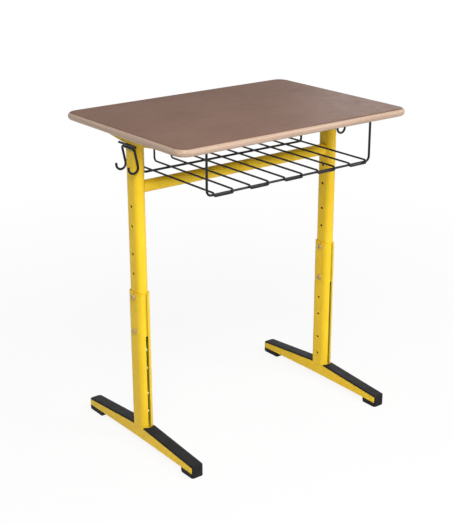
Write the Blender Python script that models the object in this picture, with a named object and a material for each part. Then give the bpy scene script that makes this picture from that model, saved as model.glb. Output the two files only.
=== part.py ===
"""Height-adjustable school desk with a wire book basket and bag hooks.

A Blender script: metres, +Z up, -Y towards the pupil, origin on the floor
under the middle of the worktop. The desk stands at its top setting.
Every piece is one closed object. The outer columns and feet stand on the
floor, and the top frame slides in them on the columns' own axes.
"""

import math

import bmesh
import bpy
from mathutils import Vector

# Worktop: a board with a full-round wooden edge and a laminate on both faces
WORKTOP_HEIGHT = 0.820
WORKTOP_WIDTH = 0.700
WORKTOP_DEPTH = 0.500
WORKTOP_THICKNESS = 0.019
WORKTOP_CORNER = 0.032
LAMINATE_THICKNESS = 0.0010
LIPPING_WIDTH = 0.018

# Running and seating clearances
SEAT_GAP = 0.0003
SLIDE_CLEARANCE = 0.0005
NOSE_CLEARANCE = 0.0020
CUT_OVERRUN = 0.010

# Columns: a flat-oval tube that slides in a larger, slit one
LEG_INSET = 0.045
INNER_DEPTH = 0.050
INNER_WIDTH = 0.030
INNER_WALL = 0.0020
OUTER_WALL = 0.0025
OUTER_RIM_HEIGHT = 0.412
SLIT_WIDTH = 0.008
CROSSBAR_DIAMETER = 0.030
CROSSBAR_WALL = 0.0015
CROSSBAR_DROP = 0.127
PLUG_FLANGE = 0.003
PLUG_DEPTH = 0.008
PLUG_EASE = 0.0003

# Height settings: the lock screws stay put, and the holes step past them
UPPER_LOCK_DROP = 0.012
LOCK_SPACING = 0.090
HEIGHT_STEP_SHARES = (6, 5, 7, 5)
LOWEST_HOLE_RISE = 0.0344
INDEX_HOLE_DIAMETER = 0.0080
INNER_TAIL = 0.012

# Lock screws: button heads with a hexagon socket
LOCK_HEAD_DIAMETER = 0.0170
LOCK_HEAD_HEIGHT = 0.0040
LOCK_HEAD_RIM = 0.0009
LOCK_SHANK_DIAMETER = 0.0072
LOCK_SOCKET_ACROSS = 0.0055
LOCK_SOCKET_DEPTH = 0.0022

# Top brackets: a channel, open downwards, that thins to both ends
BRACKET_TOP_LENGTH = 0.290
BRACKET_BOTTOM_LENGTH = 0.062
BRACKET_LEAD = 0.009
BRACKET_HEIGHT = 0.0172
BRACKET_WALL = 0.0025
BRACKET_EDGE_RADIUS = 0.0008
BRACKET_SCREW_NEAR = 0.060
BRACKET_SCREW_FAR = 0.120

# Wood screws for the brackets and the basket
SCREW_HEAD_DIAMETER = 0.0086
SCREW_HEAD_HEIGHT = 0.0026
SCREW_SHANK_DIAMETER = 0.0040
SCREW_LENGTH = 0.0120
SCREW_TIP_LENGTH = 0.0030
SCREW_TIP_DIAMETER = 0.0010
SCREW_CLEARANCE = 0.0003
SCREW_CROWN_SHARE = 0.7
SCREW_RIM_SHARE = 0.5

# Book basket: two U-shaped rails that carry hairpins of thinner wire
RAIL_WIRE = 0.0060
HAIRPIN_WIRE = 0.0050
BASKET_DROP = 0.1085
FRONT_RAIL_INSET = 0.040
RAIL_TO_COLUMN = 0.038
BASKET_DEPTH = 0.313
REAR_RAIL_SETBACK = 0.0555
FRONT_RAIL_BEND = 0.012
REAR_RAIL_BEND = 0.007
HAIRPIN_COUNT = 5
HAIRPIN_WIDTH = 0.054
HAIRPIN_MARGIN = 0.0162
HAIRPIN_FRONT_LEAN = math.radians(70)
HAIRPIN_FRONT_STRAIGHT = 0.0003
HAIRPIN_FRONT_BEND = 0.0034
HAIRPIN_BACK_BEND = 0.009
STRAP_WIDTH = 0.020
STRAP_THICKNESS = 0.0020
STRAP_FRONT_MARGIN = 0.014
STRAP_SCREW_FRONT_SETBACK = 0.050
STRAP_SCREW_REAR_SETBACK = 0.032

# Bag hooks: a bar across the outer face of each inner column, with two hooks
HOOK_WIRE = 0.0060
HOOK_BAR_FRONT_Y = -0.0315
HOOK_BAR_REAR_Y = 0.0385
HOOK_SPREAD = 0.0530
HOOK_BOWL_RADIUS = 0.0130
HOOK_BOWL_REACH = 0.0225
HOOK_BOWL_DROP = 0.0497
HOOK_TIP_RISE = 0.0040
HOOK_NECK_BEND = 0.006

# Feet: a tapered channel with a plastic cover and pad at each end
FOOT_FRONT_REACH = 0.235
FOOT_REAR_REACH = 0.2455
FOOT_WIDTH = 0.034
BEAM_BOTTOM = 0.0152
BEAM_END_BOTTOM = 0.0125
BEAM_TOP = 0.0456
BEAM_END_TOP = 0.0278
BEAM_FLAT_MARGIN = 0.0025
BEAM_WALL = 0.0025
BEAM_EDGE_RADIUS = 0.0010
COVER_THICKNESS = 0.0034
COVER_CROWN_WIDTH = 0.0055
COVER_CROWN_DROP = 0.0028
COVER_WRAP = 0.006
PAD_EDGE_RADIUS = 0.0012
PAD_CORNER_RADIUS = 0.004
END_WALL = 0.0030
FRONT_END_CORNER = 0.0065
REAR_END_FLAT = 0.0040
REAR_ROLL_LENGTH = 0.0135
REAR_ROLL_DROP = 0.0060
FRONT_PAD_LENGTH = 0.047
REAR_PAD_LENGTH = 0.0685

# How finely round shapes are divided
TUBE_ARC_STEPS = 8
CROSSBAR_SIDES = 28
CORNER_STEPS = 8
EDGE_ARC_STEPS = 8
SHEET_ARC_STEPS = 2
CROWN_STEPS = 4
ROLL_STEPS = 5
WIRE_BEND_STEPS = 4
BOWL_STEPS = 11
HOLE_SIDES = 12
SCREW_HOLE_SIDES = 8
LOCK_SIDES = 16
DOME_STEPS = 3
SCREW_SIDES = 8
BEVEL_STEPS = 2
BEVEL_PROFILE_SHARE = 0.5
WIRE_BEVEL_RESOLUTION = 2
SMOOTH_ANGLE = math.radians(35)
HEXAGON_SIDES = 6

# Finishes: colour, roughness and metallic value
FINISHES = {
    "laminate_brown": ((0.245, 0.165, 0.135), 0.45, 0.0),
    "laminate_backing": ((0.42, 0.36, 0.31), 0.55, 0.0),
    "beech": ((0.70, 0.50, 0.38), 0.50, 0.0),
    "board": ((0.50, 0.38, 0.26), 0.75, 0.0),
    "yellow_coat": ((0.85, 0.55, 0.04), 0.38, 0.0),
    "black_wire": ((0.030, 0.030, 0.032), 0.35, 0.0),
    "black_plastic": ((0.022, 0.022, 0.024), 0.50, 0.0),
    "zinc": ((0.60, 0.60, 0.60), 0.32, 1.0),
}

# Sizes that follow from the ones above
WORKTOP_BOTTOM = WORKTOP_HEIGHT - WORKTOP_THICKNESS
COLUMN_X = WORKTOP_WIDTH / 2 - LEG_INSET
OUTER_DEPTH = INNER_DEPTH + 2 * (NOSE_CLEARANCE + OUTER_WALL)
OUTER_WIDTH = INNER_WIDTH + 2 * (SLIDE_CLEARANCE + OUTER_WALL)
BRACKET_WEB_BOTTOM = WORKTOP_BOTTOM - SEAT_GAP - BRACKET_WALL
BRACKET_BOTTOM = WORKTOP_BOTTOM - SEAT_GAP - BRACKET_HEIGHT
BRACKET_WIDTH = INNER_WIDTH + 2 * (SLIDE_CLEARANCE + BRACKET_WALL)
REAR_END_CORNER = (FOOT_WIDTH - REAR_END_FLAT) / 2
BEAM_FLAT_HALF = OUTER_DEPTH / 2 + BEAM_FLAT_MARGIN
CROSSBAR_HEIGHT = WORKTOP_BOTTOM - CROSSBAR_DROP
UPPER_LOCK_HEIGHT = OUTER_RIM_HEIGHT - UPPER_LOCK_DROP
LOWER_LOCK_HEIGHT = UPPER_LOCK_HEIGHT - LOCK_SPACING
TRAVEL = LOWER_LOCK_HEIGHT - BEAM_TOP - LOWEST_HOLE_RISE
INNER_BOTTOM = LOWER_LOCK_HEIGHT - INNER_TAIL
INNER_TOP = BRACKET_WEB_BOTTOM - SEAT_GAP
RAIL_HEIGHT = WORKTOP_BOTTOM - BASKET_DROP
HAIRPIN_HEIGHT = RAIL_HEIGHT + (RAIL_WIRE + HAIRPIN_WIRE) / 2 + SEAT_GAP
FRONT_RAIL_Y = FRONT_RAIL_INSET - WORKTOP_DEPTH / 2
RAIL_HALF_WIDTH = COLUMN_X - INNER_WIDTH / 2 - RAIL_TO_COLUMN
HAIRPIN_BACK_Y = FRONT_RAIL_Y + BASKET_DEPTH
REAR_RAIL_Y = HAIRPIN_BACK_Y - REAR_RAIL_SETBACK
OUTERMOST_WIRE_X = RAIL_HALF_WIDTH - HAIRPIN_MARGIN
HAIRPIN_PITCH = (2 * OUTERMOST_WIRE_X - HAIRPIN_WIDTH) / (HAIRPIN_COUNT - 1)
STRAP_BOTTOM = WORKTOP_BOTTOM - SEAT_GAP - STRAP_THICKNESS
HOOK_BAR_HEIGHT = BRACKET_BOTTOM - SEAT_GAP - HOOK_WIRE / 2
HOOK_BOWL_HEIGHT = HOOK_BAR_HEIGHT - HOOK_BOWL_DROP
SIDES = {"left": -1, "right": 1}

# Each foot end: its direction, reach and pad length
END_SIZES = {
    "front": (-1, FOOT_FRONT_REACH, FRONT_PAD_LENGTH),
    "rear": (1, FOOT_REAR_REACH, REAR_PAD_LENGTH),
}


def finish(name):
    """Return the named finish, made once and then shared."""
    material = bpy.data.materials.get(name)
    if material is None:
        color, roughness, metallic = FINISHES[name]
        material = bpy.data.materials.new(name)
        material.use_nodes = True
        shader = material.node_tree.nodes["Principled BSDF"]
        shader.inputs["Base Color"].default_value = (*color, 1.0)
        shader.inputs["Roughness"].default_value = roughness
        shader.inputs["Metallic"].default_value = metallic
        material.diffuse_color = (*color, 1.0)
    return material


def mesh_from(bm, name):
    """Turn an edit mesh into a smooth-shaded mesh, with its faces out."""
    bmesh.ops.recalc_face_normals(bm, faces=bm.faces)
    mesh = bpy.data.meshes.new(name)
    bm.to_mesh(mesh)
    bm.free()
    return shade(mesh)


def shade(mesh):
    """Shade round stretches smooth and keep the hard edges."""
    mesh.shade_smooth()
    mesh.set_sharp_from_angle(angle=SMOOTH_ANGLE)
    return mesh


def body(name, origin, parent=None):
    """Make the empty that carries a body's pieces, on its sliding axis."""
    empty = bpy.data.objects.new(name, None)
    empty.location = origin
    bpy.context.scene.collection.objects.link(empty)
    if parent is not None:
        empty.parent = parent
        empty.location = Vector(origin) - parent.matrix_world.translation
    bpy.context.view_layer.update()
    return empty


def add_piece(name, data, finish_name, parent, origin):
    """Add a mesh or curve drawn about origin, a place in the desk's frame."""
    data.materials.append(finish(finish_name))
    obj = bpy.data.objects.new(name, data)
    bpy.context.scene.collection.objects.link(obj)
    obj.parent = parent
    obj.location = Vector(origin) - parent.matrix_world.translation
    return obj


def solid(name, bm, finish_name, parent):
    """Add a solid drawn in the desk's frame, with its origin on its body's."""
    origin = parent.matrix_world.translation.copy()
    shift(bm, *-origin)
    return add_piece(name, mesh_from(bm, name), finish_name, parent, origin)


def wire(name, points, diameter, parent):
    """Add a round wire with flat ends, along points in the desk's frame."""
    origin = parent.matrix_world.translation.copy()
    curve = bpy.data.curves.new(name, "CURVE")
    curve.dimensions = "3D"
    curve.bevel_depth = diameter / 2
    curve.bevel_resolution = WIRE_BEVEL_RESOLUTION
    curve.use_fill_caps = True
    spline = curve.splines.new("POLY")
    spline.points.add(len(points) - 1)
    for point, place in zip(spline.points, points):
        point.co = (*(Vector(place) - origin), 1.0)
    return add_piece(name, curve, "black_wire", parent, origin)


def bake(obj):
    """Replace the object's mesh by what its modifiers make of it."""
    graph = bpy.context.evaluated_depsgraph_get()
    mesh = bpy.data.meshes.new_from_object(obj.evaluated_get(graph))
    obj.modifiers.clear()
    obj.data = shade(mesh)


def cut(obj, cutters, operation="DIFFERENCE"):
    """Cut each cutter out of the object, or keep what lies inside it."""
    for cutter in cutters:
        boolean = obj.modifiers.new(cutter.name, "BOOLEAN")
        boolean.operation = operation
        boolean.solver = "EXACT"
        boolean.object = cutter
    bake(obj)


def as_cutter(name, bm):
    """Make a cutter from a solid drawn in the desk's frame."""
    cutter = bpy.data.objects.new(name, mesh_from(bm, name))
    cutter.hide_render = True
    cutter.display_type = "WIRE"
    bpy.context.scene.collection.objects.link(cutter)
    return cutter


def discard(cutters):
    """Remove cutters that have done their work."""
    for cutter in cutters:
        bpy.data.objects.remove(cutter)


def round_edges(obj, radius):
    """Round the object's hard edges."""
    bevel = obj.modifiers.new("rounded_edges", "BEVEL")
    bevel.width = radius
    bevel.segments = BEVEL_STEPS
    bevel.limit_method = "ANGLE"
    bevel.angle_limit = SMOOTH_ANGLE
    bake(obj)


def shift(bm, x=0.0, y=0.0, z=0.0):
    """Move an edit mesh."""
    bmesh.ops.translate(bm, verts=bm.verts, vec=(x, y, z))
    return bm


def arc(center, radius, start, end, steps):
    """Return points along an arc, both ends included, angles in degrees."""
    points = []
    for step in range(steps + 1):
        angle = math.radians(start + (end - start) * step / steps)
        x = center[0] + radius * math.cos(angle)
        y = center[1] + radius * math.sin(angle)
        points.append((x, y))
    return points


def rounded_rectangle(width, depth, radius):
    """Return a rectangle's outline with round corners."""
    x = width / 2 - radius
    y = depth / 2 - radius
    corners = [(x, y, 0), (-x, y, 90), (-x, -y, 180), (x, -y, 270)]
    points = []
    for center_x, center_y, start in corners:
        points += arc((center_x, center_y), radius, start, start + 90, CORNER_STEPS)
    return points


def oval(depth, width, slit=0.0):
    """Return a flat-oval outline from its front middle round to it again.

    With a slit, the outline starts and ends at the slit's edges.
    """
    radius = width / 2
    straight = depth / 2 - radius
    opening = math.degrees(math.asin(slit / 2 / radius))
    points = arc((0.0, -straight), radius, -90 + opening, 0, TUBE_ARC_STEPS)
    points += arc((0.0, straight), radius, 0, 180, 2 * TUBE_ARC_STEPS)
    points += arc((0.0, -straight), radius, 180, 270 - opening, TUBE_ARC_STEPS)
    return points if slit else points[:-1]


def circle(diameter, sides):
    """Return a circle's outline."""
    return arc((0.0, 0.0), diameter / 2, 0, 360, sides)[:-1]


def loft(loops):
    """Join outlines at rising heights into a solid, closed at both ends."""
    bm = bmesh.new()
    rings = [[bm.verts.new((x, y, z)) for x, y in outline] for outline, z in loops]
    count = len(rings[0])
    for ring, following in zip(rings, rings[1:]):
        for i in range(count):
            j = (i + 1) % count
            bm.faces.new((ring[i], ring[j], following[j], following[i]))
    bm.faces.new(rings[0])
    bm.faces.new(rings[-1])
    return bm


def hoop(loops, closed=True):
    """Join outlines into a wall that goes round and meets itself.

    Each loop is an outline and its height. An open wall, such as a slit
    tube's, gets an end face on each side of its slit.
    """
    bm = bmesh.new()
    rings = [[bm.verts.new((x, y, z)) for x, y in outline] for outline, z in loops]
    count = len(rings[0])
    spans = count if closed else count - 1
    for ring, following in zip(rings, rings[1:] + rings[:1]):
        for i in range(spans):
            j = (i + 1) % count
            bm.faces.new((ring[i], ring[j], following[j], following[i]))
    if not closed:
        bm.faces.new([ring[0] for ring in rings])
        bm.faces.new([ring[-1] for ring in rings])
    return bm


def tube(outer, inner, low, high, closed=True):
    """Make the wall between two outlines, from low to high."""
    return hoop([(outer, low), (outer, high), (inner, high), (inner, low)], closed)


def side_prism(outline, width):
    """Extrude an outline in Y and Z to both sides along X."""
    bm = bmesh.new()
    near = [bm.verts.new((-width / 2, y, z)) for y, z in outline]
    far = [bm.verts.new((width / 2, y, z)) for y, z in outline]
    for i in range(len(outline)):
        j = (i + 1) % len(outline)
        bm.faces.new((near[i], near[j], far[j], far[i]))
    bm.faces.new(near)
    bm.faces.new(far)
    return bm


def block(low, high):
    """Make a box from two opposite corners."""
    outline = [(low[0], low[1]), (high[0], low[1]), (high[0], high[1]), (low[0], high[1])]
    return loft([(outline, low[2]), (outline, high[2])])


def add_turned(bm, profile, sides, center, direction):
    """Add a solid turned from a profile about an axis through center.

    The profile is a list of (radius, distance along the axis), and its
    first and last points lie on the axis.
    """
    turn = Vector((1, 0, 0)).rotation_difference(Vector(direction))
    place = Vector(center)
    rings = []
    for radius, along in profile[1:-1]:
        ring = []
        for side in range(sides):
            angle = 2 * math.pi * side / sides
            point = Vector((along, radius * math.cos(angle), radius * math.sin(angle)))
            ring.append(bm.verts.new(turn @ point + place))
        rings.append(ring)
    first = bm.verts.new(turn @ Vector((profile[0][1], 0, 0)) + place)
    last = bm.verts.new(turn @ Vector((profile[-1][1], 0, 0)) + place)
    for i in range(sides):
        j = (i + 1) % sides
        bm.faces.new((first, rings[0][j], rings[0][i]))
        bm.faces.new((last, rings[-1][i], rings[-1][j]))
        for ring, following in zip(rings, rings[1:]):
            bm.faces.new((ring[i], ring[j], following[j], following[i]))
    return bm


def drills(name, diameter, length, centers, direction, sides=HOLE_SIDES):
    """Make one cutter of equal rods, each centred on its place."""
    bm = bmesh.new()
    half = length / 2
    profile = [(0.0, -half), (diameter / 2, -half), (diameter / 2, half), (0.0, half)]
    for center in centers:
        add_turned(bm, profile, sides, center, direction)
    return as_cutter(name, bm)


def bent_path(corners, bends):
    """Round a path's corners in space, each with its own bend radius."""
    points = [Vector(corners[0])]
    for before, corner, after, bend in zip(corners, corners[1:], corners[2:], bends):
        corner = Vector(corner)
        back = (Vector(before) - corner).normalized()
        ahead = (Vector(after) - corner).normalized()
        half_turn = back.angle(ahead) / 2
        middle = corner + (back + ahead).normalized() * (bend / math.sin(half_turn))
        start = (corner + back * (bend / math.tan(half_turn)) - middle).normalized()
        end = (corner + ahead * (bend / math.tan(half_turn)) - middle).normalized()
        for step in range(WIRE_BEND_STEPS + 1):
            points.append(middle + start.slerp(end, step / WIRE_BEND_STEPS) * bend)
    points.append(Vector(corners[-1]))
    return points


def screw_sites():
    """Return each wood screw's name and the place under its head's rim."""
    sites = []
    bracket_seat = BRACKET_WEB_BOTTOM - SEAT_GAP
    reaches = (-BRACKET_SCREW_FAR, -BRACKET_SCREW_NEAR, BRACKET_SCREW_NEAR, BRACKET_SCREW_FAR)
    for side, sign in SIDES.items():
        for number, y in enumerate(reaches, 1):
            place = (sign * COLUMN_X, y - BRACKET_LEAD, bracket_seat)
            sites.append((f"bracket_screw_{side}_{number}", place))
    strap_seat = STRAP_BOTTOM - SEAT_GAP
    front = FRONT_RAIL_Y + STRAP_SCREW_FRONT_SETBACK
    rear = HAIRPIN_BACK_Y - STRAP_SCREW_REAR_SETBACK
    for side, sign in SIDES.items():
        for number, y in enumerate((front, rear), 1):
            sites.append((f"basket_screw_{side}_{number}", (sign * RAIL_HALF_WIDTH, y, strap_seat)))
    for number, sign in enumerate(SIDES.values(), 1):
        place = (sign * HAIRPIN_PITCH, HAIRPIN_BACK_Y, strap_seat)
        sites.append((f"basket_screw_rear_{number}", place))
    return sites


def screw_holes():
    """Make one cutter for all the wood screws' holes, up to their tips."""
    length = SCREW_LENGTH + SEAT_GAP + CUT_OVERRUN
    centers = []
    for _, (x, y, z) in screw_sites():
        centers.append((x, y, z + SCREW_LENGTH + SEAT_GAP - length / 2))
    diameter = SCREW_SHANK_DIAMETER + 2 * SCREW_CLEARANCE
    return drills("screw_holes", diameter, length, centers, (0, 0, 1), SCREW_HOLE_SIDES)


def worktop_outline(inset):
    """Return the worktop's outline, moved inwards."""
    return rounded_rectangle(
        WORKTOP_WIDTH - 2 * inset, WORKTOP_DEPTH - 2 * inset, WORKTOP_CORNER - inset
    )


def make_worktop(frame, holes):
    """Make the board, its lipping and the laminate on both faces.

    The edge is rounded through the laminates and the lipping alike.
    """
    radius = WORKTOP_THICKNESS / 2
    rebate = LAMINATE_THICKNESS + SEAT_GAP
    low = WORKTOP_BOTTOM + rebate
    high = WORKTOP_HEIGHT - rebate
    round_middle = (radius, WORKTOP_BOTTOM + radius)
    turn = math.degrees(math.asin((radius - rebate) / radius))
    nose = arc(round_middle, radius, 180 + turn, 180 - turn, EDGE_ARC_STEPS)
    profile = [(LIPPING_WIDTH, low), *nose, (LIPPING_WIDTH, high)]
    loops = [(worktop_outline(inset), z) for inset, z in profile]
    solid("worktop_lipping", hoop(loops), "beech", frame)

    core_outline = worktop_outline(LIPPING_WIDTH + SEAT_GAP)
    core = solid("worktop_core", loft([(core_outline, low), (core_outline, high)]), "board", frame)
    cut(core, [holes])

    turn = math.degrees(math.asin((radius - LAMINATE_THICKNESS) / radius))
    rim = arc(round_middle, radius, 180 - turn, 90, SHEET_ARC_STEPS)
    top = loft([(worktop_outline(inset), z) for inset, z in rim])
    solid("worktop_laminate", top, "laminate_brown", frame)
    rim = arc(round_middle, radius, 270, 180 + turn, SHEET_ARC_STEPS)
    under = loft([(worktop_outline(inset), z) for inset, z in rim])
    backing = solid("worktop_backing", under, "laminate_backing", frame)
    cut(backing, [holes])


def make_bracket(side, sign, frame, holes):
    """Make a top bracket, which hides the column's upper end."""
    top = WORKTOP_BOTTOM - SEAT_GAP
    half_top = BRACKET_TOP_LENGTH / 2
    half_bottom = BRACKET_BOTTOM_LENGTH / 2
    outline = [
        (-half_bottom, BRACKET_BOTTOM),
        (half_bottom, BRACKET_BOTTOM),
        (half_top, BRACKET_WEB_BOTTOM),
        (half_top, top),
        (-half_top, top),
        (-half_top, BRACKET_WEB_BOTTOM),
    ]
    x = sign * COLUMN_X
    shell = shift(side_prism(outline, BRACKET_WIDTH), x=x, y=-BRACKET_LEAD)
    bracket = solid(f"top_bracket_{side}", shell, "yellow_coat", frame)
    round_edges(bracket, BRACKET_EDGE_RADIUS)
    half_channel = BRACKET_WIDTH / 2 - BRACKET_WALL
    channel = block(
        (x - half_channel, -half_top - BRACKET_LEAD - CUT_OVERRUN, BRACKET_BOTTOM - CUT_OVERRUN),
        (x + half_channel, half_top - BRACKET_LEAD + CUT_OVERRUN, BRACKET_WEB_BOTTOM),
    )
    channel_cutter = as_cutter("bracket_channel", channel)
    cut(bracket, [channel_cutter, holes])
    discard([channel_cutter])


def setting_rises():
    """Return how far each height setting lies from the first one."""
    rises = [0.0]
    for share in HEIGHT_STEP_SHARES:
        rises.append(rises[-1] + TRAVEL * share / sum(HEIGHT_STEP_SHARES))
    return rises


def make_inner_column(side, sign, frame):
    """Make a sliding column with its index holes, and the plug in its foot."""
    x = sign * COLUMN_X
    inner_outline = oval(INNER_DEPTH - 2 * INNER_WALL, INNER_WIDTH - 2 * INNER_WALL)
    wall = tube(oval(INNER_DEPTH, INNER_WIDTH), inner_outline, INNER_BOTTOM, INNER_TOP)
    column = solid(f"inner_column_{side}", shift(wall, x=x), "yellow_coat", frame)
    heights = [UPPER_LOCK_HEIGHT + rise for rise in setting_rises()]
    heights.append(LOWER_LOCK_HEIGHT)
    centers = [(x, 0, z) for z in heights]
    length = INNER_WIDTH + 2 * CUT_OVERRUN
    holes = drills("index_holes", INDEX_HOLE_DIAMETER, length, centers, (1, 0, 0))
    cut(column, [holes])
    discard([holes])

    flange_top = INNER_BOTTOM - SEAT_GAP
    narrowing = 2 * (INNER_WALL + PLUG_EASE)
    flange = oval(INNER_DEPTH, INNER_WIDTH)
    insert = oval(INNER_DEPTH - narrowing, INNER_WIDTH - narrowing)
    plug = loft([
        (flange, flange_top - PLUG_FLANGE),
        (flange, flange_top),
        (insert, flange_top),
        (insert, flange_top + PLUG_DEPTH),
    ])
    solid(f"column_plug_{side}", shift(plug, x=x), "black_plastic", frame)


def make_crossbar(frame):
    """Make the round tube between the inner columns."""
    half = COLUMN_X - INNER_WIDTH / 2 - SEAT_GAP
    outer = circle(CROSSBAR_DIAMETER, CROSSBAR_SIDES)
    inner = circle(CROSSBAR_DIAMETER - 2 * CROSSBAR_WALL, CROSSBAR_SIDES)
    bar = tube(outer, inner, -half, half)
    turn = Vector((0, 0, 1)).rotation_difference(Vector((1, 0, 0))).to_matrix()
    bmesh.ops.rotate(bar, verts=bar.verts, matrix=turn)
    solid("crossbar", shift(bar, z=CROSSBAR_HEIGHT), "yellow_coat", frame)


def make_outer_column(side, sign, leg):
    """Make a slit outer column with the holes for its lock screws.

    Its row of index holes is only in the flat that faces the other leg.
    """
    x = sign * COLUMN_X
    outer = oval(OUTER_DEPTH, OUTER_WIDTH, SLIT_WIDTH)
    inner = oval(OUTER_DEPTH - 2 * OUTER_WALL, OUTER_WIDTH - 2 * OUTER_WALL, SLIT_WIDTH)
    wall = tube(outer, inner, BEAM_TOP + SEAT_GAP, OUTER_RIM_HEIGHT, closed=False)
    column = solid(f"outer_column_{side}", shift(wall, x=x), "yellow_coat", leg)
    centers = [(x, 0, z) for z in (LOWER_LOCK_HEIGHT, UPPER_LOCK_HEIGHT)]
    length = OUTER_WIDTH + 2 * CUT_OVERRUN
    lock_holes = drills("lock_holes", INDEX_HOLE_DIAMETER, length, centers, (1, 0, 0))
    flat = x - sign * OUTER_WIDTH / 2
    centers = [(flat, 0, LOWER_LOCK_HEIGHT - rise) for rise in setting_rises()[1:]]
    length = 2 * (OUTER_WALL + CUT_OVERRUN)
    index_holes = drills("index_row", INDEX_HOLE_DIAMETER, length, centers, (1, 0, 0))
    cut(column, [lock_holes, index_holes])
    discard([lock_holes, index_holes])


def make_lock_screws(side, sign, leg):
    """Make the button-head screws at both heights, on both flats.

    Each points out of its flat, and its tip stops just short of the inner
    column, which slides past it.
    """
    tip = INNER_WIDTH / 2 + SEAT_GAP
    shank = OUTER_WIDTH / 2 + SEAT_GAP - tip
    shank_radius = LOCK_SHANK_DIAMETER / 2
    head_radius = LOCK_HEAD_DIAMETER / 2
    dome = []
    for step in range(DOME_STEPS):
        angle = math.pi / 2 * step / DOME_STEPS
        rise = (LOCK_HEAD_HEIGHT - LOCK_HEAD_RIM) * math.sin(angle)
        dome.append((head_radius * math.cos(angle), shank + LOCK_HEAD_RIM + rise))
    profile = [(0.0, 0.0), (shank_radius, 0.0), (shank_radius, shank), (head_radius, shank)]
    profile += [*dome, (0.0, shank + LOCK_HEAD_HEIGHT)]
    socket = LOCK_SOCKET_ACROSS / math.cos(math.pi / HEXAGON_SIDES)
    socket_length = LOCK_SOCKET_DEPTH + CUT_OVERRUN
    socket_middle = shank + LOCK_HEAD_HEIGHT - LOCK_SOCKET_DEPTH + socket_length / 2
    heights = {"upper": UPPER_LOCK_HEIGHT, "lower": LOWER_LOCK_HEIGHT}
    for level, z in heights.items():
        for face, outward in (("outer", sign), ("inner", -sign)):
            origin = (sign * COLUMN_X + outward * tip, 0, z)
            direction = (outward, 0, 0)
            name = f"lock_screw_{side}_{level}_{face}"
            bm = add_turned(bmesh.new(), profile, LOCK_SIDES, (0, 0, 0), direction)
            screw = add_piece(name, mesh_from(bm, name), "zinc", leg, origin)
            center = Vector(origin) + socket_middle * Vector(direction)
            hexagon = drills("socket", socket, socket_length, [center], direction, HEXAGON_SIDES)
            cut(screw, [hexagon])
            discard([hexagon])


def beam_edge(y, middle, end):
    """Return the height at y of an edge that slopes from middle to end."""
    beyond = max(0.0, abs(y) - BEAM_FLAT_HALF)
    return middle - (middle - end) * beyond / (FOOT_REAR_REACH - BEAM_FLAT_HALF)


def beam_top(y):
    """Return the height of a foot beam's top at y."""
    return beam_edge(y, BEAM_TOP, BEAM_END_TOP)


def beam_bottom(y):
    """Return the height of a foot beam's underside at y."""
    return beam_edge(y, BEAM_BOTTOM, BEAM_END_BOTTOM)


def foot_plan(x):
    """Make a cutter that follows a foot's outline, seen from above."""
    outline = []
    ends = [
        (1, 0, FOOT_REAR_REACH, REAR_END_CORNER),
        (-1, 180, FOOT_FRONT_REACH, FRONT_END_CORNER),
    ]
    for direction, start, reach, radius in ends:
        side = direction * (FOOT_WIDTH / 2 - radius)
        along = direction * (reach - radius)
        outline += arc((side, along), radius, start, start + 90, CORNER_STEPS)
        outline += arc((-side, along), radius, start + 90, start + 180, CORNER_STEPS)
    bm = loft([(outline, -CUT_OVERRUN), (outline, BEAM_TOP + CUT_OVERRUN)])
    return as_cutter("foot_plan", shift(bm, x=x))


def make_foot_beam(side, sign, leg, plan):
    """Make a foot: a channel, open downwards, that thins to both ends.

    Its round rear end is closed, and its front end is open.
    """
    x = sign * COLUMN_X
    front_past = -(FOOT_FRONT_REACH + CUT_OVERRUN)
    rear_past = FOOT_REAR_REACH + CUT_OVERRUN
    places = (front_past, -BEAM_FLAT_HALF, BEAM_FLAT_HALF, rear_past)
    outline = [(y, beam_bottom(y)) for y in places]
    outline += [(y, beam_top(y)) for y in reversed(places)]
    shell = side_prism(outline, FOOT_WIDTH + 2 * CUT_OVERRUN)
    beam = solid(f"foot_beam_{side}", shift(shell, x=x), "yellow_coat", leg)
    cut(beam, [plan], "INTERSECT")
    round_edges(beam, BEAM_EDGE_RADIUS)
    roll_rear_end(beam)

    closed = FOOT_REAR_REACH - REAR_END_CORNER
    places = (front_past, -BEAM_FLAT_HALF, BEAM_FLAT_HALF, closed)
    hollow = [(y, BEAM_END_BOTTOM - CUT_OVERRUN) for y in (front_past, closed)]
    hollow += [(y, beam_top(y) - BEAM_WALL) for y in reversed(places)]
    channel = side_prism(hollow, FOOT_WIDTH - 2 * BEAM_WALL)
    cutters = [as_cutter("beam_channel", shift(channel, x=x))]
    ends = ((-FOOT_FRONT_REACH, front_past), (FOOT_REAR_REACH, rear_past))
    for reach, past in ends:
        kept = reach - math.copysign(END_WALL + SEAT_GAP, reach)
        half = FOOT_WIDTH / 2 + CUT_OVERRUN
        low = (x - half, min(kept, past), -CUT_OVERRUN)
        high = (x + half, max(kept, past), BEAM_TOP + CUT_OVERRUN)
        cutters.append(as_cutter("beam_end", block(low, high)))
    cut(beam, cutters)
    discard(cutters)


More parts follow.
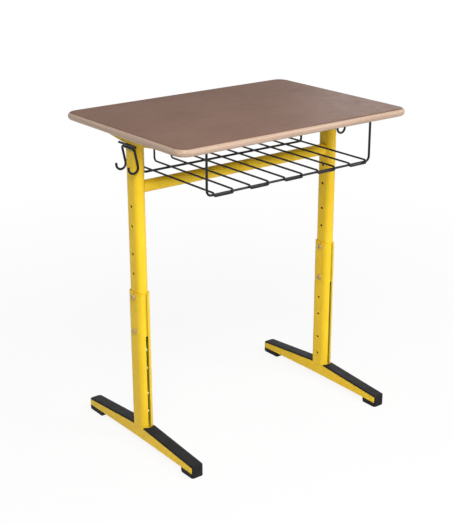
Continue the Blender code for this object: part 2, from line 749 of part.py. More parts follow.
def make_foot_cover(side, sign, leg, plan, end):
    """Make a plastic cover: a strip on the beam, an end wall and a floor pad."""
    direction, reach, pad = END_SIZES[end]
    beam_end = direction * (reach - END_WALL)
    past = direction * (reach + CUT_OVERRUN)
    pad_start = direction * (reach - pad)
    bend = direction * BEAM_FLAT_HALF
    start = direction * (OUTER_DEPTH / 2 - COVER_WRAP)
    top = COVER_THICKNESS + SEAT_GAP
    corner_middle = (pad_start + direction * PAD_CORNER_RADIUS, PAD_CORNER_RADIUS)
    turn = (90 + 90 * direction, 90 + 180 * direction)
    outline = [
        *arc(corner_middle, PAD_CORNER_RADIUS, *turn, CROWN_STEPS),
        (past, 0.0),
        (past, beam_top(past) + top),
        (bend, beam_top(bend) + top),
        (start, beam_top(start) + top),
        (start, beam_top(start) + SEAT_GAP),
        (bend, beam_top(bend) + SEAT_GAP),
        (beam_end, beam_top(beam_end) + SEAT_GAP),
        (beam_end, beam_bottom(beam_end) - SEAT_GAP),
        (pad_start, beam_bottom(pad_start) - SEAT_GAP),
    ]
    shell = side_prism(outline, FOOT_WIDTH + 2 * CUT_OVERRUN)
    x = sign * COLUMN_X
    name = f"foot_cover_{end}_{side}"
    cover = solid(name, shift(shell, x=x), "black_plastic", leg)
    cut(cover, [plan], "INTERSECT")
    round_cover(cover)
    roll_rear_end(cover)
    around = oval(OUTER_DEPTH + 2 * SEAT_GAP, OUTER_WIDTH + 2 * SEAT_GAP)
    post = loft([(around, BEAM_TOP - CUT_OVERRUN), (around, BEAM_TOP + CUT_OVERRUN)])
    post_cutter = as_cutter("column_clearance", shift(post, x=x))
    cut(cover, [post_cutter])
    discard([post_cutter])


def roll_rear_end(obj):
    """Let the top of a foot's beam or cover roll down at the rear end.

    Only what lies above the beam's middle moves.
    """
    start = FOOT_REAR_REACH - REAR_ROLL_LENGTH
    bm = bmesh.new()
    bm.from_mesh(obj.data)
    for step in range(ROLL_STEPS):
        place = (0, start + REAR_ROLL_LENGTH * step / ROLL_STEPS, 0)
        everything = [*bm.verts, *bm.edges, *bm.faces]
        bmesh.ops.bisect_plane(bm, geom=everything, plane_co=place, plane_no=(0, 1, 0))
    for vert in bm.verts:
        y = vert.co.y
        if vert.co.z > (beam_top(y) + beam_bottom(y)) / 2:
            rolled = max(0.0, y - start) / REAR_ROLL_LENGTH
            vert.co.z -= REAR_ROLL_DROP * rolled**2
    bm.to_mesh(obj.data)
    bm.free()
    shade(obj.data)


def round_cover(cover):
    """Crown a foot cover's top, and round its lower edge.

    The crown is wider than it is deep, so it is cut while the cover is
    stretched upwards.
    """
    start = OUTER_DEPTH / 2 - COVER_WRAP + SEAT_GAP
    bm = bmesh.new()
    bm.from_mesh(cover.data)
    crown = []
    lower = []
    for edge in bm.edges:
        if edge.calc_face_angle(0.0) < SMOOTH_ANGLE:
            continue
        ends = [vert.co for vert in edge.verts]
        if all(co.z < PAD_CORNER_RADIUS + SEAT_GAP for co in ends):
            lower.append(edge)
        on_top = all(co.z > beam_top(co.y) + COVER_THICKNESS / 2 for co in ends)
        if on_top and any(abs(co.y) > start for co in ends):
            crown.append(edge)
    bevel = {"affect": "EDGES", "profile": BEVEL_PROFILE_SHARE}
    bmesh.ops.bevel(bm, geom=lower, offset=PAD_EDGE_RADIUS, segments=BEVEL_STEPS, **bevel)
    stretch = COVER_CROWN_WIDTH / COVER_CROWN_DROP
    bmesh.ops.scale(bm, vec=(1, 1, stretch), verts=bm.verts)
    bmesh.ops.bevel(bm, geom=crown, offset=COVER_CROWN_WIDTH, segments=CROWN_STEPS, **bevel)
    bmesh.ops.scale(bm, vec=(1, 1, 1 / stretch), verts=bm.verts)
    bm.to_mesh(cover.data)
    bm.free()
    shade(cover.data)


def make_basket(frame, holes):
    """Make the basket's two rails, its floor of hairpins and its straps.

    Each hairpin lies on both rails, and its closed end bends down over the
    front rail and runs along it.
    """
    upright_top = STRAP_BOTTOM - SEAT_GAP
    rails = {
        "basket_front_rail": (FRONT_RAIL_Y, FRONT_RAIL_BEND),
        "basket_rear_rail": (REAR_RAIL_Y, REAR_RAIL_BEND),
    }
    for name, (y, bend) in rails.items():
        corners = [
            (-RAIL_HALF_WIDTH, y, upright_top),
            (-RAIL_HALF_WIDTH, y, RAIL_HEIGHT),
            (RAIL_HALF_WIDTH, y, RAIL_HEIGHT),
            (RAIL_HALF_WIDTH, y, upright_top),
        ]
        wire(name, bent_path(corners, [bend, bend]), RAIL_WIRE, frame)

    wrap = HAIRPIN_HEIGHT - RAIL_HEIGHT
    forward = math.sin(HAIRPIN_FRONT_LEAN)
    downward = math.cos(HAIRPIN_FRONT_LEAN)
    tail = HAIRPIN_FRONT_STRAIGHT + HAIRPIN_FRONT_BEND
    crest_y = FRONT_RAIL_Y - wrap * math.tan(HAIRPIN_FRONT_LEAN / 2)
    bar_y = FRONT_RAIL_Y - wrap * forward - tail * downward
    bar_z = RAIL_HEIGHT + wrap * downward - tail * forward
    side_path = [
        (HAIRPIN_BACK_Y, upright_top),
        (HAIRPIN_BACK_Y, HAIRPIN_HEIGHT),
        (crest_y, HAIRPIN_HEIGHT),
        (bar_y, bar_z),
    ]
    bends = [HAIRPIN_BACK_BEND, wrap, HAIRPIN_FRONT_BEND]
    for index in range(HAIRPIN_COUNT):
        middle = HAIRPIN_PITCH * (index - (HAIRPIN_COUNT - 1) / 2)
        corners = [(middle - HAIRPIN_WIDTH / 2, y, z) for y, z in side_path]
        corners += [(middle + HAIRPIN_WIDTH / 2, y, z) for y, z in reversed(side_path)]
        path = bent_path(corners, [*bends, *reversed(bends)])
        wire(f"basket_hairpin_{index + 1}", path, HAIRPIN_WIRE, frame)

    strap_top = STRAP_BOTTOM + STRAP_THICKNESS
    half_strap = STRAP_WIDTH / 2
    rear_edge = HAIRPIN_BACK_Y - half_strap
    for side, sign in SIDES.items():
        x = sign * RAIL_HALF_WIDTH
        low = (x - half_strap, FRONT_RAIL_Y - STRAP_FRONT_MARGIN, STRAP_BOTTOM)
        high = (x + half_strap, rear_edge - SEAT_GAP, strap_top)
        strap = solid(f"basket_strap_{side}", block(low, high), "black_wire", frame)
        cut(strap, [holes])
    reach = RAIL_HALF_WIDTH + half_strap
    low = (-reach, rear_edge, STRAP_BOTTOM)
    high = (reach, HAIRPIN_BACK_Y + half_strap, strap_top)
    strap = solid("basket_strap_rear", block(low, high), "black_wire", frame)
    cut(strap, [holes])


def make_wood_screws(frame):
    """Make the pan-head screws that hold the brackets and the basket."""
    head = SCREW_HEAD_DIAMETER / 2
    shank = SCREW_SHANK_DIAMETER / 2
    profile = [
        (0.0, -SCREW_HEAD_HEIGHT),
        (head * SCREW_CROWN_SHARE, -SCREW_HEAD_HEIGHT),
        (head, -SCREW_HEAD_HEIGHT * SCREW_RIM_SHARE),
        (head, 0.0),
        (shank, 0.0),
        (shank, SCREW_LENGTH - SCREW_TIP_LENGTH),
        (SCREW_TIP_DIAMETER / 2, SCREW_LENGTH),
        (0.0, SCREW_LENGTH),
    ]
    for name, place in screw_sites():
        bm = add_turned(bmesh.new(), profile, SCREW_SIDES, (0, 0, 0), (0, 0, 1))
        add_piece(name, mesh_from(bm, name), "zinc", frame, place)


def make_bag_hooks(side, sign, frame):
    """Make the bar across a column's outer face, and the hooks under it.

    Each hook's top runs along under the bar towards the other hook.
    """
    reach = INNER_WIDTH / 2 + SEAT_GAP + HOOK_WIRE / 2
    bar_x = sign * (COLUMN_X + reach)
    ends = [(bar_x, HOOK_BAR_FRONT_Y, HOOK_BAR_HEIGHT), (bar_x, HOOK_BAR_REAR_Y, HOOK_BAR_HEIGHT)]
    wire(f"hook_bar_{side}", ends, HOOK_WIRE, frame)

    top_z = HOOK_BAR_HEIGHT - HOOK_WIRE - SEAT_GAP
    across = reach - HOOK_BOWL_REACH
    up = top_z - HOOK_BOWL_HEIGHT
    lean = math.degrees(math.atan2(up, across))
    tangent = lean + math.degrees(math.acos(HOOK_BOWL_RADIUS / math.hypot(across, up)))
    center = (HOOK_BOWL_REACH, HOOK_BOWL_HEIGHT)
    bowl = arc(center, HOOK_BOWL_RADIUS, tangent, 360, BOWL_STEPS)
    tip = (HOOK_BOWL_REACH + HOOK_BOWL_RADIUS, HOOK_BOWL_HEIGHT + HOOK_TIP_RISE)
    for place, toward in (("front", -1), ("rear", 1)):
        y = toward * HOOK_SPREAD / 2
        shank_start = (sign * (COLUMN_X + bowl[0][0]), y, bowl[0][1])
        corners = [(bar_x, toward * SEAT_GAP / 2, top_z), (bar_x, y, top_z), shank_start]
        path = bent_path(corners, [HOOK_NECK_BEND])
        path += [(sign * (COLUMN_X + u), y, z) for u, z in (*bowl[1:], tip)]
        wire(f"bag_hook_{place}_{side}", path, HOOK_WIRE, frame)


def make_desk():
    """Make the whole desk: two legs and the top frame that slides in them."""
    left_leg = body("left_leg", (-COLUMN_X, 0, 0))
    top_frame = body("top_frame", (-COLUMN_X, 0, 0), left_leg)
    right_leg = body("right_leg", (COLUMN_X, 0, 0), top_frame)
    legs = {"left": left_leg, "right": right_leg}

    holes = screw_holes()
    make_worktop(top_frame, holes)
    make_crossbar(top_frame)
    make_basket(top_frame, holes)
    make_wood_screws(top_frame)
    for side, sign in SIDES.items():
        make_bracket(side, sign, top_frame, holes)
        make_inner_column(side, sign, top_frame)
        make_bag_hooks(side, sign, top_frame)
        make_outer_column(side, sign, legs[side])
        make_lock_screws(side, sign, legs[side])
        plan = foot_plan(sign * COLUMN_X)
        make_foot_beam(side, sign, legs[side], plan)
        make_foot_cover(side, sign, legs[side], plan, "front")
        make_foot_cover(side, sign, legs[side], plan, "rear")
        discard([plan])
    discard([holes])


for leftover in list(bpy.data.objects):
    bpy.data.objects.remove(leftover)
make_desk()
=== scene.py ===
"""Looks for the height-adjustable school desk: materials, welds, light, camera."""

import math

import bmesh
import bpy
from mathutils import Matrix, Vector


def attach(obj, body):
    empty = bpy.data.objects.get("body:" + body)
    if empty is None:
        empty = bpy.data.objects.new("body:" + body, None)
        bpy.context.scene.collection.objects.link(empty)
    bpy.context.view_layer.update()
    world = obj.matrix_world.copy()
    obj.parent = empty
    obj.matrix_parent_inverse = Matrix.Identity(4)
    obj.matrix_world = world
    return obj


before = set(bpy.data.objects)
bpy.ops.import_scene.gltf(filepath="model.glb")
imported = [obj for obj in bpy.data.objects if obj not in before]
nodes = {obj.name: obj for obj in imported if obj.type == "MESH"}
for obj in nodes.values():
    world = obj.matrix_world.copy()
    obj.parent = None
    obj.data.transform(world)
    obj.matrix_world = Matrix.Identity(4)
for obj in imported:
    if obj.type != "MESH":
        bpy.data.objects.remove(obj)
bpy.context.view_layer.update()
scene = bpy.context.scene

# Camera, solved from the photograph's 453 x 523 frame
FRAME_WIDTH = 453
FRAME_HEIGHT = 523
FOCAL_PIXELS = 1136.32
PRINCIPAL_U = 237.451
PRINCIPAL_V = 273.543
CAMERA_PLACE = (-1.70727, -2.18511, 1.42947)
CAMERA_PITCH = math.radians(90 - 20.6091)
CAMERA_YAW = math.radians(-37.9908)
SENSOR = 36.0
CLIP_START = 0.05
CLIP_END = 50.0

# Sizes of the desk that the materials and the added pieces follow
WORKTOP_HALF_WIDTH = 0.350
WORKTOP_HALF_DEPTH = 0.250
LEG_OFFSET = 0.305
OUTER_NOSE_RADIUS = 0.018
OUTER_HALF_FLAT = 0.0115
INNER_NOSE_RADIUS = 0.015
INNER_HALF_FLAT = 0.010
OUTER_RIM = 0.412
CROSSBAR_END = 0.2897
CROSSBAR_HEIGHT = 0.674
CROSSBAR_RADIUS = 0.015

# Faces inside a column: how far under its outer face they begin, and the largest
# Z of their normals, which leaves out the cut ends
INSIDE_DEPTH = 0.0006
UPRIGHT_LIMIT = 0.5

# Share of the coat's colour that is left on the inner column below the rim: painted
# shade
PAINTED_SHADE_BELOW_RIM = (0.80, 0.87, 0.98)

# Heights of the bumps that each surface shows
ORANGE_PEEL = 0.00006
LAMINATE_GRAIN = 0.00004
WOOD_GRAIN = 0.00005
WIRE_PEEL = 0.00004
LEATHER_GRAIN = 0.00008
SCREW_GRAIN = 0.00003
CHIP_RELIEF = 0.0002

# Shading of the nodes: edges sharper than the angle stay sharp
MERGE_DISTANCE = 0.00001
SHARP_ANGLE = math.radians(35)
FACE_WEIGHT = 50

# Weld beads: sections around the bar, sides of a section, rise of a section's
# centre over the bar as a share of the radius, ripples of (waves, same share)
WELD_RADIUS = 0.0014
WELD_SECTIONS = 96
WELD_SIDES = 10
WELD_RISE_SHARE = 0.3
WELD_RIPPLES = ((24, 0.12), (7, 0.05))

# Stage: to the camera and in reflections the floor glows, less near the desk than
# far from it, so that the desk's shadow stays
FLOOR_REACH = 6.0
FLOOR_DROP = 0.0004
FLOOR_GREY = (0.9, 0.9, 0.9, 1.0)
FLOOR_ROUGHNESS = 0.9
FLOOR_SPECULAR = 0.1
FLOOR_NEAR = 0.6
FLOOR_FAR = 2.2
GLOW_NEAR = 0.89
GLOW_FAR = 1.0
WHITE = (1.0, 1.0, 1.0, 1.0)
AMBIENT_STRENGTH = 0.18
BACKDROP_STRENGTH = 1.0

# Square soft lamps: name, place, target, size in metres, power in watts
LAMPS = (
    ("key", (-1.42, -2.12, 2.76), (0, 0, 0.5), 1.6, 92.0),
    ("fill", (1.15, -2.50, 2.35), (0, 0, 0.5), 1.6, 54.0),
    ("sheen", (3.2, 2.4, 1.5), (0.1, 0, 0.7), 1.2, 13.0),
)


# Helpers that build material nodes


def new_material(name):
    """Return an empty node material, its tree and its Principled shader."""
    mat = bpy.data.materials.new(name)
    mat.use_nodes = True
    tree = mat.node_tree
    return mat, tree, tree.nodes["Principled BSDF"]


def add(tree, kind, **settings):
    """Add a node and set its attributes."""
    node = tree.nodes.new(kind)
    for key, value in settings.items():
        setattr(node, key, value)
    return node


def set_inputs(node, values):
    """Set a node's sockets by name."""
    for socket, value in values.items():
        node.inputs[socket].default_value = value


def feed(tree, target, value):
    """Give a socket another socket, a plain colour or a plain number."""
    if isinstance(value, bpy.types.NodeSocket):
        tree.links.new(value, target)
    elif isinstance(value, tuple):
        target.default_value = (*value, 1.0)
    else:
        target.default_value = value


def stretch(tree, vector, scale):
    """Scale a vector on each axis."""
    mapping = add(tree, "ShaderNodeMapping")
    set_inputs(mapping, {"Scale": scale})
    tree.links.new(vector, mapping.inputs["Vector"])
    return mapping.outputs["Vector"]


def object_place(tree):
    """Return object coordinates."""
    return add(tree, "ShaderNodeTexCoord").outputs["Object"]


def split(tree, vector):
    """Return a vector's X, Y and Z."""
    parts = add(tree, "ShaderNodeSeparateXYZ")
    tree.links.new(vector, parts.inputs["Vector"])
    return [parts.outputs[axis] for axis in "XYZ"]


def join(tree, *values):
    """Return the vector of up to three sockets."""
    node = add(tree, "ShaderNodeCombineXYZ")
    for axis, value in zip("XYZ", values):
        tree.links.new(value, node.inputs[axis])
    return node.outputs["Vector"]


def length(tree, vector):
    """Return a vector's length."""
    node = add(tree, "ShaderNodeVectorMath", operation="LENGTH")
    tree.links.new(vector, node.inputs[0])
    return node.outputs["Value"]


def noise(tree, vector, scale, detail=2.0, roughness=0.5):
    """Return a noise value between 0 and 1."""
    node = add(tree, "ShaderNodeTexNoise")
    set_inputs(node, {"Scale": scale, "Detail": detail, "Roughness": roughness})
    tree.links.new(vector, node.inputs["Vector"])
    return node.outputs["Fac"]


def cells(tree, vector, scale):
    """Return a node that divides space into cells of unlike sizes."""
    node = add(tree, "ShaderNodeTexVoronoi", feature="F1")
    set_inputs(node, {"Scale": scale})
    tree.links.new(vector, node.inputs["Vector"])
    return node


def ramp(tree, value, colors, start=0.3, end=0.7):
    """Return a colour that passes evenly through colours from start to end."""
    node = add(tree, "ShaderNodeValToRGB")
    elements = node.color_ramp.elements
    last = len(colors) - 1
    while len(elements) < len(colors):
        elements.new(0.5)
    for index, (element, color) in enumerate(zip(elements, colors)):
        element.position = start + (end - start) * index / last
        element.color = (*color, 1.0)
    tree.links.new(value, node.inputs["Fac"])
    return node.outputs["Color"]


def between(tree, value, low, high, start=0.3, end=0.7):
    """Map a value's range, from start to end, to low..high."""
    node = add(tree, "ShaderNodeMapRange")
    set_inputs(node, {"From Min": start, "From Max": end, "To Min": low, "To Max": high})
    tree.links.new(value, node.inputs["Value"])
    return node.outputs["Result"]


def blend(tree, factor, first, second, kind="RGBA", mode="MIX"):
    """Mix two colours or vectors; each is a socket or a plain colour."""
    node = add(tree, "ShaderNodeMix", data_type=kind, blend_type=mode)
    sockets = [socket for socket in node.inputs if socket.enabled]
    for socket, value in zip(sockets, (factor, first, second)):
        feed(tree, socket, value)
    return next(socket for socket in node.outputs if socket.enabled)


def bump(tree, shader, height, distance):
    """Raise the shader's surface by a height between 0 and 1."""
    node = add(tree, "ShaderNodeBump")
    set_inputs(node, {"Distance": distance})
    tree.links.new(height, node.inputs["Height"])
    tree.links.new(node.outputs["Normal"], shader.inputs["Normal"])


def vary_roughness(tree, shader, value, low, high):
    """Vary the shader's roughness from low to high with a value."""
    tree.links.new(between(tree, value, low, high), shader.inputs["Roughness"])


def srgb(red, green, blue):
    """Return a linear colour from 0..255 display values."""
    linear = []
    for value in (red, green, blue):
        share = value / 255
        straight = share / 12.92
        curved = ((share + 0.055) / 1.055) ** 2.4
        linear.append(straight if share <= 0.04045 else curved)
    return tuple(linear)


def arithmetic(tree, operation, first, second=None):
    """Return one step of arithmetic on sockets or plain numbers."""
    node = add(tree, "ShaderNodeMath", operation=operation)
    feed(tree, node.inputs[0], first)
    if second is not None:
        feed(tree, node.inputs[1], second)
    return node.outputs[0]


def past(tree, value, reach):
    """Return how far a value's size lies past a reach, negative inside it."""
    return arithmetic(tree, "SUBTRACT", arithmetic(tree, "ABSOLUTE", value), reach)


def seen_by(tree, *kinds):
    """Return 1 on rays of the named kinds, and 0 on all others."""
    rays = add(tree, "ShaderNodeLightPath")
    seen = rays.outputs[kinds[0]]
    for kind in kinds[1:]:
        seen = arithmetic(tree, "MAXIMUM", seen, rays.outputs[kind])
    return seen


def inside_column(tree, radius, half_flat):
    """Return 1 on a column's inner faces, and 1 on its front half, where light is
    painted.
    """
    x, y, _ = split(tree, object_place(tree))
    across = past(tree, x, LEG_OFFSET)
    past_flat = arithmetic(tree, "MAXIMUM", past(tree, y, half_flat), 0.0)
    distance = length(tree, join(tree, across, past_flat))
    inner = arithmetic(tree, "LESS_THAN", distance, radius - INSIDE_DEPTH)
    normal = split(tree, add(tree, "ShaderNodeNewGeometry").outputs["Normal"])
    tilt = arithmetic(tree, "ABSOLUTE", normal[2])
    upright = arithmetic(tree, "LESS_THAN", tilt, UPRIGHT_LIMIT)
    front = arithmetic(tree, "LESS_THAN", y, 0.0)
    return arithmetic(tree, "MULTIPLY", inner, upright), front


# Materials. Where a look has two or three colours, they go from dark to light

YELLOW = (srgb(238, 197, 40), srgb(244, 203, 46))
# Inside a column: the rear is bare steel darkened with painted shade, the front is
# painted light
COLUMN_INSIDE_REAR_STEEL_AND_SHADE = srgb(62, 55, 40)
COLUMN_INSIDE_FRONT_PAINTED_LIGHT = srgb(250, 236, 84)
BROWN_LAMINATE = (srgb(122, 93, 79), srgb(131, 101, 87))
BACKING_LAMINATE = (srgb(176, 166, 152), srgb(188, 178, 164))
LAMINATE_SPECKS = ((0.93, 0.93, 0.93), (1.0, 1.0, 1.0))
BEECH = (srgb(166, 138, 117), srgb(181, 154, 134), srgb(193, 168, 149))
BEECH_FLECKS = ((0.80, 0.74, 0.70), (1.0, 1.0, 1.0))
BLACK_WIRE = (srgb(11, 11, 13), srgb(17, 17, 19))
BLACK_PLASTIC = (srgb(36, 35, 36), srgb(45, 44, 45))
PASSIVATED_ZINC = (srgb(178, 152, 100), srgb(204, 177, 122))
WOOD_CHIPS = (srgb(140, 108, 76), srgb(182, 148, 110), srgb(208, 178, 140))


def make_powder_coat(name, section=None, rim=None):
    """Yellow powder coat with a slight orange peel.

    Inside: steel with painted shade at the rear, painted light at the front; painted
    shade below the rim.
    """
    mat, tree, shader = new_material(name)
    place = object_place(tree)
    broad = noise(tree, place, scale=14.0, detail=3.0)
    color = ramp(tree, broad, YELLOW, start=0.35, end=0.65)
    if rim:
        # Painted shade on the inner column below the outer column's rim
        in_painted_shade = arithmetic(tree, "LESS_THAN", split(tree, place)[2], rim)
        painted_shade_color = blend(tree, 1.0, color, PAINTED_SHADE_BELOW_RIM, mode="MULTIPLY")
        color = blend(tree, in_painted_shade, color, painted_shade_color)
    if section:
        # Painted shade on the rear inner faces of a column, painted light on the front
        # ones
        inside, front = inside_column(tree, *section)
        inside_steel_shade_and_light = blend(tree, front, COLUMN_INSIDE_REAR_STEEL_AND_SHADE, COLUMN_INSIDE_FRONT_PAINTED_LIGHT)
        color = blend(tree, inside, color, inside_steel_shade_and_light)
    tree.links.new(color, shader.inputs["Base Color"])
    vary_roughness(tree, shader, noise(tree, place, scale=60.0), 0.26, 0.36)
    bump(tree, shader, noise(tree, place, scale=420.0), ORANGE_PEEL)
    set_inputs(shader, {"Specular IOR Level": 0.16})
    return mat


def make_laminate(name, shades, roughness):
    """High-pressure laminate: a fine, even grain on a matt surface."""
    mat, tree, shader = new_material(name)
    place = object_place(tree)
    broad = noise(tree, place, scale=7.0, detail=4.0)
    fine = noise(tree, place, scale=900.0, detail=3.0, roughness=0.6)
    base = ramp(tree, broad, shades)
    specks = ramp(tree, fine, LAMINATE_SPECKS, start=0.35, end=0.65)
    color = blend(tree, 1.0, base, specks, mode="MULTIPLY")
    tree.links.new(color, shader.inputs["Base Color"])
    patches = noise(tree, place, scale=40.0, detail=4.0)
    vary_roughness(tree, shader, patches, roughness - 0.03, roughness + 0.04)
    set_inputs(shader, {"Specular IOR Level": 0.015})
    bump(tree, shader, fine, LAMINATE_GRAIN)
    return mat


def make_beech():
    """Lacquered beech: grain along each side, mitred at the corners."""
    mat, tree, shader = new_material("beech_edge_look")
    place = object_place(tree)
    x, y, z = split(tree, place)
    past_end = past(tree, x, WORKTOP_HALF_WIDTH)
    past_front = past(tree, y, WORKTOP_HALF_DEPTH)
    on_end = arithmetic(tree, "GREATER_THAN", past_end, past_front)
    along = blend(tree, on_end, place, join(tree, y, x, z), kind="VECTOR")
    long_grain = stretch(tree, along, (3.0, 160.0, 160.0))
    short_grain = stretch(tree, along, (110.0, 1300.0, 1300.0))
    streaks = noise(tree, long_grain, scale=1.0, detail=4.0, roughness=0.6)
    flecks = noise(tree, short_grain, scale=1.0, detail=1.0)
    base = ramp(tree, streaks, BEECH, start=0.25, end=0.75)
    dots = ramp(tree, flecks, BEECH_FLECKS, start=0.28, end=0.40)
    color = blend(tree, 1.0, base, dots, mode="MULTIPLY")
    tree.links.new(color, shader.inputs["Base Color"])
    set_inputs(shader, {"Roughness": 0.38, "Specular IOR Level": 0.3})
    set_inputs(shader, {"Coat Weight": 0.1, "Coat Roughness": 0.3})
    bump(tree, shader, streaks, WOOD_GRAIN)
    return mat


def make_wire_coat():
    """Black powder coat on wire."""
    mat, tree, shader = new_material("black_wire_look")
    place = object_place(tree)
    color = ramp(tree, noise(tree, place, scale=35.0, detail=3.0), BLACK_WIRE)
    tree.links.new(color, shader.inputs["Base Color"])
    vary_roughness(tree, shader, noise(tree, place, scale=90.0), 0.30, 0.42)
    bump(tree, shader, noise(tree, place, scale=700.0), WIRE_PEEL)
    set_inputs(shader, {"Specular IOR Level": 0.3})
    return mat


def make_plastic():
    """Moulded black plastic with a fine leather grain."""
    mat, tree, shader = new_material("black_plastic_look")
    place = object_place(tree)
    color = ramp(tree, noise(tree, place, scale=22.0, detail=4.0), BLACK_PLASTIC)
    tree.links.new(color, shader.inputs["Base Color"])
    vary_roughness(tree, shader, noise(tree, place, scale=50.0, detail=3.0), 0.46, 0.6)
    bump(tree, shader, cells(tree, place, 900.0).outputs["Distance"], LEATHER_GRAIN)
    set_inputs(shader, {"Specular IOR Level": 0.06})
    return mat


def make_zinc():
    """Dull yellow-passivated zinc on small screws."""
    mat, tree, shader = new_material("zinc_screws_look")
    place = object_place(tree)
    color = ramp(tree, noise(tree, place, scale=300.0, detail=3.0), PASSIVATED_ZINC)
    tree.links.new(color, shader.inputs["Base Color"])
    set_inputs(shader, {"Metallic": 1.0})
    vary_roughness(tree, shader, noise(tree, place, scale=500.0), 0.42, 0.56)
    bump(tree, shader, noise(tree, place, scale=900.0), SCREW_GRAIN)
    return mat


def make_board():
    """Pressed chips of wood."""
    mat, tree, shader = new_material("board_look")
    place = stretch(tree, object_place(tree), (1, 1, 1.6))
    chips = cells(tree, place, 420.0)
    tint = add(tree, "ShaderNodeSeparateColor")
    tree.links.new(chips.outputs["Color"], tint.inputs["Color"])
    color = ramp(tree, tint.outputs["Red"], WOOD_CHIPS, start=0.0, end=1.0)
    tree.links.new(color, shader.inputs["Base Color"])
    set_inputs(shader, {"Roughness": 0.8})
    bump(tree, shader, chips.outputs["Distance"], CHIP_RELIEF)
    return mat


looks = {
    "yellow_powder_coat": make_powder_coat("yellow_powder_coat_look"),
    "brown_laminate": make_laminate("brown_laminate_look", BROWN_LAMINATE, 0.40),
    "backing_laminate": make_laminate("backing_laminate_look", BACKING_LAMINATE, 0.5),
    "beech_edge": make_beech(),
    "black_wire": make_wire_coat(),
    "black_plastic": make_plastic(),
    "zinc_screws": make_zinc(),
    "board": make_board(),
}


# Shading of the nodes


def make_smoothing():
    """Build a node group that welds a node's triangles and shades it by angle."""
    group = bpy.data.node_groups.new("smooth_by_angle", "GeometryNodeTree")
    for way in ("INPUT", "OUTPUT"):
        group.interface.new_socket(
            "Geometry", in_out=way, socket_type="NodeSocketGeometry"
        )
    start = group.nodes.new("NodeGroupInput")
    end = group.nodes.new("NodeGroupOutput")
    weld = group.nodes.new("GeometryNodeMergeByDistance")
    weld.inputs["Distance"].default_value = MERGE_DISTANCE
    strip = group.nodes.new("GeometryNodeRemoveAttribute")
    strip.inputs["Name"].default_value = "custom_normal"
    faces = group.nodes.new("GeometryNodeSetShadeSmooth")
    faces.domain = "FACE"
    edges = group.nodes.new("GeometryNodeSetShadeSmooth")
    edges.domain = "EDGE"
    edges.inputs["Shade Smooth"].default_value = False
    angle = group.nodes.new("GeometryNodeInputMeshEdgeAngle")
    limit = group.nodes.new("ShaderNodeMath")
    limit.operation = "GREATER_THAN"
    limit.inputs[1].default_value = SHARP_ANGLE
    links = group.links
    links.new(start.outputs[0], weld.inputs["Geometry"])
    links.new(weld.outputs["Geometry"], strip.inputs["Geometry"])
    links.new(strip.outputs["Geometry"], faces.inputs["Geometry"])
    links.new(faces.outputs["Geometry"], edges.inputs["Geometry"])
    links.new(angle.outputs["Unsigned Angle"], limit.inputs[0])
    links.new(limit.outputs[0], edges.inputs["Selection"])
    links.new(edges.outputs["Geometry"], end.inputs[0])
    return group


# The columns have coats of their own, with painted light and shade; every other node's
# look goes by its slot
column_coats = {
    "outer_column": make_powder_coat(
        "outer_column_look", section=(OUTER_NOSE_RADIUS, OUTER_HALF_FLAT)
    ),
    "inner_column": make_powder_coat(
        "inner_column_look",
        section=(INNER_NOSE_RADIUS, INNER_HALF_FLAT),
        rim=OUTER_RIM,
    ),
}

smoothing = make_smoothing()
for name, node in nodes.items():
    slot_name = node.material_slots[0].material.name.split(".")[0]
    kind = name.rsplit("_", 1)[0]
    node.material_slots[0].material = column_coats.get(kind, looks[slot_name])
    shading = node.modifiers.new("smooth_by_angle", "NODES")
    shading.node_group = smoothing
    weighting = node.modifiers.new("face_weighted", "WEIGHTED_NORMAL")
    weighting.keep_sharp = True
    weighting.weight = FACE_WEIGHT


# Added pieces


def make_weld(name, x):
    """Add a rippled bead around the crossbar where it meets a column."""
    mesh = bmesh.new()
    center = CROSSBAR_RADIUS + WELD_RISE_SHARE * WELD_RADIUS
    rings = []
    for turn in range(WELD_SECTIONS):
        angle = 2 * math.pi * turn / WELD_SECTIONS
        swell = 1.0
        for waves, share in WELD_RIPPLES:
            swell += share * math.sin(waves * angle)
        swell *= WELD_RADIUS
        ring = []
        for side in range(WELD_SIDES):
            around = 2 * math.pi * side / WELD_SIDES
            out = center + swell * math.cos(around)
            along = x + swell * math.sin(around)
            height = CROSSBAR_HEIGHT + out * math.cos(angle)
            ring.append(mesh.verts.new((along, out * math.sin(angle), height)))
        rings.append(ring)
    for turn, here in enumerate(rings):
        ahead = rings[(turn + 1) % WELD_SECTIONS]
        for side in range(WELD_SIDES):
            beside = (side + 1) % WELD_SIDES
            mesh.faces.new((here[side], here[beside], ahead[beside], ahead[side]))
    bmesh.ops.recalc_face_normals(mesh, faces=mesh.faces)
    for face in mesh.faces:
        face.smooth = True
    data = bpy.data.meshes.new(name)
    mesh.to_mesh(data)
    mesh.free()
    data.materials.append(looks["yellow_powder_coat"])
    weld = bpy.data.objects.new(name, data)
    scene.collection.objects.link(weld)
    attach(weld, "top_frame")


make_weld("crossbar_weld_left", WELD_RADIUS - CROSSBAR_END)
make_weld("crossbar_weld_right", CROSSBAR_END - WELD_RADIUS)


# The stage


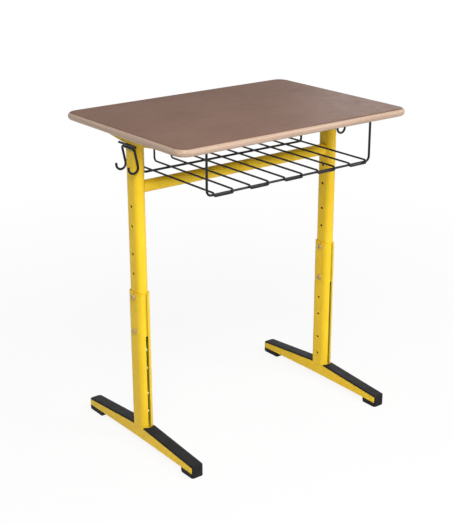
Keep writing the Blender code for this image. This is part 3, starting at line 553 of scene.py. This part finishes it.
def make_floor():
    """A pale floor that keeps the desk's shadow."""
    mesh = bpy.data.meshes.new("studio_floor")
    signs = ((-1, -1), (1, -1), (1, 1), (-1, 1))
    corners = [(x * FLOOR_REACH, y * FLOOR_REACH, -FLOOR_DROP) for x, y in signs]
    mesh.from_pydata(corners, [], [(0, 1, 2, 3)])
    floor = bpy.data.objects.new("studio_floor", mesh)
    scene.collection.objects.link(floor)
    mat, tree, shader = new_material("studio_floor_look")
    set_inputs(shader, {"Base Color": FLOOR_GREY, "Roughness": FLOOR_ROUGHNESS})
    set_inputs(shader, {"Specular IOR Level": FLOOR_SPECULAR})
    glow = add(tree, "ShaderNodeEmission")
    set_inputs(glow, {"Color": WHITE, "Strength": 1.0})
    seen = seen_by(tree, "Is Camera Ray", "Is Glossy Ray")
    distance = length(tree, add(tree, "ShaderNodeNewGeometry").outputs["Position"])
    fade = between(
        tree, distance, GLOW_NEAR, GLOW_FAR, start=FLOOR_NEAR, end=FLOOR_FAR
    )
    mix = add(tree, "ShaderNodeMixShader")
    tree.links.new(arithmetic(tree, "MULTIPLY", seen, fade), mix.inputs[0])
    tree.links.new(shader.outputs[0], mix.inputs[1])
    tree.links.new(glow.outputs[0], mix.inputs[2])
    tree.links.new(mix.outputs[0], tree.nodes["Material Output"].inputs["Surface"])
    mesh.materials.append(mat)


def make_world():
    """White behind the desk, softer where it lights the desk."""
    world = bpy.data.worlds.new("studio")
    scene.world = world
    world.use_nodes = True
    tree = world.node_tree
    background = tree.nodes["Background"]
    seen = seen_by(tree, "Is Camera Ray", "Is Glossy Ray", "Is Transmission Ray")
    strength = between(
        tree, seen, AMBIENT_STRENGTH, BACKDROP_STRENGTH, start=0.0, end=1.0
    )
    set_inputs(background, {"Color": WHITE})
    tree.links.new(strength, background.inputs["Strength"])


def make_lamp(name, place, target, size, power):
    """Add a square soft lamp that points at a target."""
    data = bpy.data.lights.new(name, "AREA")
    data.shape = "SQUARE"
    data.size = size
    data.energy = power
    lamp = bpy.data.objects.new(name, data)
    scene.collection.objects.link(lamp)
    lamp.location = place
    aim = Vector(target) - Vector(place)
    lamp.rotation_euler = aim.to_track_quat("-Z", "Y").to_euler()


def make_camera():
    """Place the camera as the photograph's was."""
    data = bpy.data.cameras.new("photo_camera")
    data.sensor_width = SENSOR
    data.lens = FOCAL_PIXELS * SENSOR / FRAME_HEIGHT
    data.shift_x = (FRAME_WIDTH / 2 - PRINCIPAL_U) / FRAME_HEIGHT
    data.shift_y = (PRINCIPAL_V - FRAME_HEIGHT / 2) / FRAME_HEIGHT
    data.clip_start = CLIP_START
    data.clip_end = CLIP_END
    camera = bpy.data.objects.new("photo_camera", data)
    scene.collection.objects.link(camera)
    camera.location = CAMERA_PLACE
    camera.rotation_euler = (CAMERA_PITCH, 0.0, CAMERA_YAW)
    scene.camera = camera


make_floor()
make_world()
for lamp_settings in LAMPS:
    make_lamp(*lamp_settings)
make_camera()
scene.view_settings.view_transform = "Standard"
